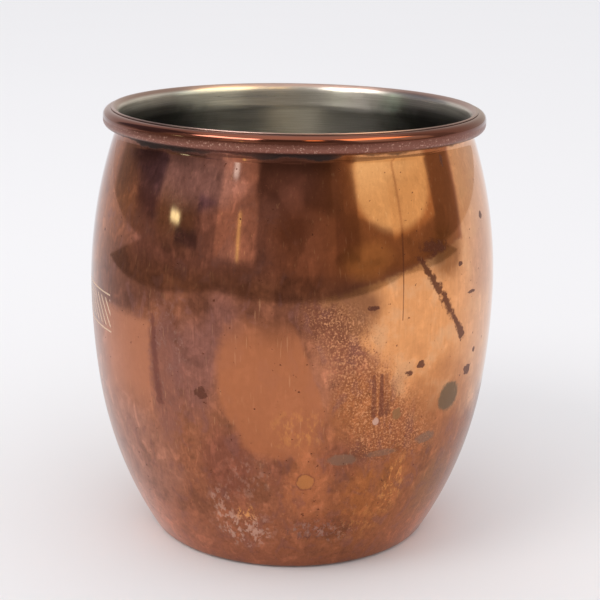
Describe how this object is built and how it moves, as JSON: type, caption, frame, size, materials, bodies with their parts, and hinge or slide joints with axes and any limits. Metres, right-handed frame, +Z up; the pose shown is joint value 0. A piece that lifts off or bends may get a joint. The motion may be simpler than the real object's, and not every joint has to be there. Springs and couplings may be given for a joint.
{
  "type": "mug",
  "caption": "Barrel-shaped copper mug with a rolled rim, a stainless steel lining and a riveted brass handle, for cold drinks.",
  "frame": {"origin": "centre of the base, on the surface the mug stands on", "axes": "+Z up along the mug's axis, +Y from the axis towards the handle, +X across"},
  "size_m": [0.0896, 0.1208, 0.095],
  "materials": {
    "copper": "worn polished copper with tarnish, water marks and a few dark spots",
    "steel": "stainless steel brushed around the mug",
    "handle_brass": "satin brass, darker in the corners and brighter on the grip",
    "rivet_brass": "hammered brass, rubbed bright on top"
  },
  "bodies": {
    "root": {"outer_shell": "copper", "inner_lining": "steel", "handle": "handle_brass", "upper_rivet": "rivet_brass", "lower_rivet": "rivet_brass"}
  },
  "joints": []
}
